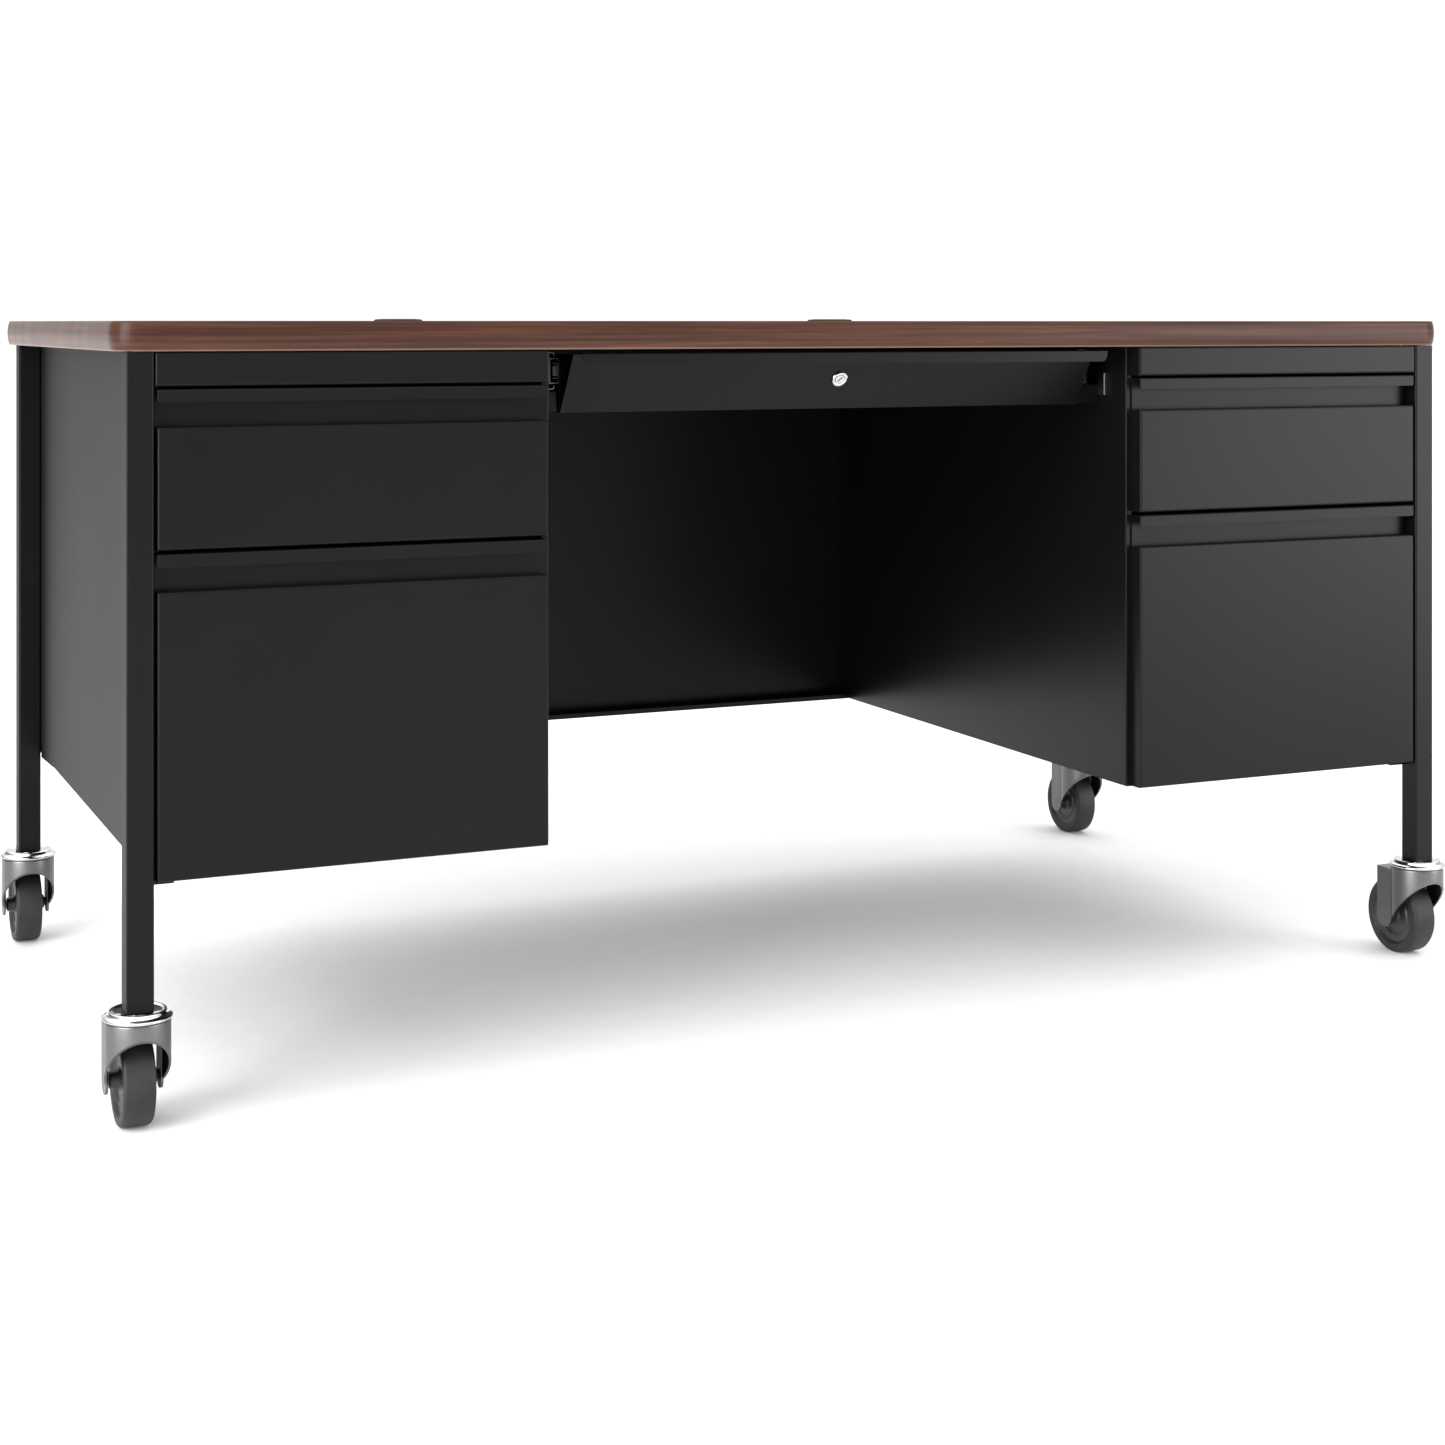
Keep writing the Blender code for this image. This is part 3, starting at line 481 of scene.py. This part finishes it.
def fork_shape():
    def ring(profile, segments=96, centre=(0, 0, 0), axis=(0, 0, 1)):
        return turned(bmesh.new(), [(r * MM, h * MM) for r, h in profile],
                      Vector(centre) * MM, axis, segments)

    cup = solid("cup", ring([(0.0, 106.1), (27.4, 106.1), (28.4, 105.9), (29.2, 105.4),
                             (29.65, 104.7), (29.8, 103.8), (29.8, 20.0), (27.6, 20.0),
                             (27.6, 101.0), (27.0, 101.6), (0.0, 101.6)]))
    mouth = prism([(-90.0, 160.7), (-90.0, -200.0), (90.0, -200.0), (90.0, -44.5)], -60.0, 60.0)
    back = prism([(13.0, -10.0), (60.0, -10.0), (60.0, 98.4), (13.0, 98.4)], -60.0, 60.0)
    steps = [("DIFFERENCE", solid("mouth", mouth)), ("DIFFERENCE", solid("back", back))]
    outline = [(14.6, 101.0), (14.6, 46.0)]
    outline += [(26.9 + 12.3 * math.cos(math.pi * (1 + k / 24)),
                 43.4 + 12.3 * math.sin(math.pi * (1 + k / 24))) for k in range(25)]
    outline += [(39.2, 101.0)]
    for side in (-1, 1):
        steps.append(("UNION", solid("strut", prism(outline, side * 23.8, side * 26.2))))
    plate = [(4.0, 98.6), (39.2, 98.6), (39.2, 101.0), (20.0, 101.0), (20.0, 102.6), (4.0, 102.6)]
    steps.append(("UNION", solid("plate", prism(plate, -18.0, 18.0))))
    wide = [(4.0, 98.6), (39.2, 98.6), (39.2, 101.0), (4.0, 101.0)]
    steps.append(("UNION", solid("wide", prism(wide, -26.2, 26.2))))
    axle = [(0.0, -25.9), (4.2, -25.9), (4.7, -25.7), (5.0, -25.4), (5.0, 25.4), (4.7, 25.7),
            (4.2, 25.9), (0.0, 25.9)]
    steps.append(("UNION", solid("axle", ring(axle, 40, (0.0, 28.0, 43.4), (1, 0, 0)))))
    pin = [(0.0, 90.0), (6.08, 90.0), (6.08, 110.0), (0.0, 110.0)]
    steps.append(("DIFFERENCE", solid("pin", ring(pin, 48))))
    mesh = carve(cup, steps)
    bm = bmesh.new()
    bm.from_mesh(mesh)
    bmesh.ops.remove_doubles(bm, verts=bm.verts, dist=0.000004)
    bmesh.ops.dissolve_limit(bm, angle_limit=0.002, verts=bm.verts, edges=bm.edges)
    bm.normal_update()
    return bm


def painted_shade_faces(centre, normal):
    """Faces that look into the fork, at the wheel; they take the dark zinc copy as painted shade.
    """
    across = math.hypot(centre.x, centre.y)
    if across < 0.0279 and centre.z < 0.1018 and normal.x * centre.x + normal.y * centre.y < 0.0:
        return True
    return (abs(centre.x) < 0.0239 and normal.x * centre.x < 0.0) or normal.z < -0.9 and \
        centre.z > 0.09


def both_sides(half):
    """A wheel profile of (radius, x), closed by its mirror image across the wheel."""
    return half + [(r, -x) for r, x in reversed(half)]


def wheel_profiles():
    right = [(30.5, 11.1), (31.6, 11.5), (32.6, 12.6), (33.4, 13.9), (34.2, 14.55), (36.0, 14.7),
             (40.2, 14.7), (41.5, 14.4), (42.5, 13.6), (43.1, 12.6), (43.4, 11.2)]
    tyre = [(12.0, 10.6), (19.6, 10.7), (20.9, 11.1), (21.9, 12.1), (22.8, 12.5), (23.6, 12.1),
            (24.6, 11.2), (27.0, 11.0)] + right
    hub = [(5.08, 21.3), (7.4, 21.3), (7.9, 21.0), (8.1, 20.3), (8.5, 16.6), (9.4, 13.4),
           (11.4, 11.6), (15.5, 10.9), (15.5, 9.0)]
    return both_sides(tyre), both_sides(hub)


def casters():
    fork = fork_shape()
    tyre, hub = wheel_profiles()
    for word, (x, y) in CORNERS.items():
        collar(word, x, y)
        bm = fork.copy()
        for face in bm.faces:
            centre = face.calc_center_median()
            # Painted shade: faces inside the fork take the dark zinc copy
            face.material_index = 1 if painted_shade_faces(centre, face.normal) else 0
        bm.transform(Matrix.Translation((x, y + DESK_Y, 0.0)))
        new_piece("fine_fork_" + word, bm, (ZINC, ZINC_PAINTED_SHADE), "caster_swivel_" + word,
                  ("caster_fork_" + word,))
        spot = (x, y + DESK_Y + 0.028, 0.0434)
        body = "caster_wheel_" + word
        bm = turned(bmesh.new(), [(r * MM, h * MM) for r, h in tyre], spot, (1, 0, 0), 112)
        for face in bm.faces:
            away = face.calc_center_median() - Vector(spot)
            # Painted shade: the dish of the tyre takes the hub look
            face.material_index = 1 if math.hypot(away.y, away.z) < DISH_PAINTED_SHADE_R else 0
        new_piece("fine_tyre_" + word, bm, (RUBBER, HUB_AND_DISH_SHADE), body,
                  ("caster_wheel_" + word,))
        bm = turned(bmesh.new(), [(r * MM, h * MM) for r, h in hub], spot, (1, 0, 0), 64)
        new_piece("fine_hub_" + word, bm, HUB_AND_DISH_SHADE, body)
    fork.free()


def dress_cad_nodes():
    for name, obj in nodes.items():
        look = LOOK_OF_SLOT[SLOT_OF_NODE[name]]
        obj.data.materials.clear()
        obj.data.materials.append(look)
        if look in (POWDER, ZINC):
            soften(obj, SOFT_EDGE)


# Brightness of the room by bearing in degrees, 0 at the back, and of the sky overhead
WALL_STOPS = ((-180, 0.55), (-135, 0.60), (-95, 0.50), (-60, 0.26), (-28, 0.40), (-13, 0.78),
              (-5, 1.05), (50, 1.05), (85, 0.70), (135, 0.60), (180, 0.55))
SKY = 1.95
# Name, place, point faced, width and height, radiance
SOFTBOXES = (("left_softbox", (-3.55, -1.90, 1.65), (-0.75, -0.38, 0.6), (2.5, 3.2), 8.5),
             ("right_softbox", (3.33, -3.2, 1.1), (0.5, -0.4, 0.6), (2.2, 2.2), 5.9))


def studio():
    scene = bpy.context.scene
    scene.view_settings.view_transform = "Standard"
    # Floor
    bm = bmesh.new()
    bmesh.ops.create_circle(bm, cap_ends=True, segments=96, radius=60.0)
    mesh = bpy.data.meshes.new("studio_floor")
    bm.to_mesh(mesh)
    bm.free()
    floor = bpy.data.objects.new("studio_floor", mesh)
    scene.collection.objects.link(floor)
    look = Look("studio_floor_look", Specular_IOR_Level=0.1)
    speck = look.noise(look.place(), 30.0, 3.0)
    look.set("Base Color", look.ramp(speck, ((0.3, (0.86, 0.86, 0.86)), (0.7, (0.88, 0.88, 0.88)))))
    look.set("Roughness", look.remap(speck, 0.3, 0.7, 0.8, 0.9))
    mesh.materials.append(look.mat)
    room(scene)
    for softbox in SOFTBOXES:
        area(*softbox)


def room(scene):
    """World light: pale backdrop behind, dimmer room elsewhere, bright overhead."""
    world = bpy.data.worlds.new("studio_world")
    scene.world = world
    world.use_nodes = True
    tree = world.node_tree
    link = tree.links.new
    coords = tree.nodes.new("ShaderNodeTexCoord")
    split = tree.nodes.new("ShaderNodeSeparateXYZ")
    link(coords.outputs["Generated"], split.inputs[0])
    round_about = tree.nodes.new("ShaderNodeMath")
    round_about.operation = "ARCTAN2"
    link(split.outputs["X"], round_about.inputs[0])
    link(split.outputs["Y"], round_about.inputs[1])
    turn = tree.nodes.new("ShaderNodeMapRange")
    turn.inputs["From Min"].default_value = -math.pi
    turn.inputs["From Max"].default_value = math.pi
    link(round_about.outputs[0], turn.inputs["Value"])
    walls = tree.nodes.new("ShaderNodeValToRGB")
    bar = walls.color_ramp
    while len(bar.elements) < len(WALL_STOPS):
        bar.elements.new(0.5)
    for element, (degrees, level) in zip(bar.elements, WALL_STOPS):
        element.position = (degrees + 180.0) / 360.0
        element.color = (level, level, level, 1.0)
    link(turn.outputs[0], walls.inputs[0])
    lift = tree.nodes.new("ShaderNodeMapRange")
    lift.interpolation_type = "SMOOTHSTEP"
    lift.inputs["From Min"].default_value = 0.25
    lift.inputs["From Max"].default_value = 0.75
    link(split.outputs["Z"], lift.inputs["Value"])
    blend = tree.nodes.new("ShaderNodeMix")
    blend.data_type = "RGBA"
    link(lift.outputs[0], blend.inputs[0])
    link(walls.outputs[0], blend.inputs[6])
    blend.inputs[7].default_value = (SKY, SKY, SKY, 1.0)
    link(blend.outputs[2], tree.nodes["Background"].inputs["Color"])
    tree.nodes["Background"].inputs["Strength"].default_value = 1.0


def area(name, spot, target, size, radiance):
    """Rectangular softbox standing upright, given by the radiance of its face."""
    light = bpy.data.lights.new(name, "AREA")
    light.shape = "RECTANGLE"
    light.size, light.size_y = size
    light.energy = radiance * math.pi * size[0] * size[1]
    obj = bpy.data.objects.new(name, light)
    obj.location = spot
    aim = Vector((target[0] - spot[0], target[1] - spot[1], 0.0))
    obj.rotation_euler = aim.to_track_quat("-Z", "Y").to_euler()
    obj.visible_camera = False
    bpy.context.scene.collection.objects.link(obj)
    return obj


def camera():
    data = bpy.data.cameras.new("camera")
    data.sensor_width = 36.0
    data.sensor_fit = "HORIZONTAL"
    data.lens = 59.03
    data.shift_x = -0.01289
    data.shift_y = -0.27682
    data.clip_start = 0.05
    data.clip_end = 200.0
    obj = bpy.data.objects.new("camera", data)
    obj.location = (-1.12769, -2.58224, 0.74142)
    obj.rotation_euler = (math.pi / 2, 0.0, -0.425)
    bpy.context.scene.collection.objects.link(obj)
    bpy.context.scene.camera = obj


dress_cad_nodes()
desktop()
grommets()
casters()
studio()
camera()

bpy.context.view_layer.update()
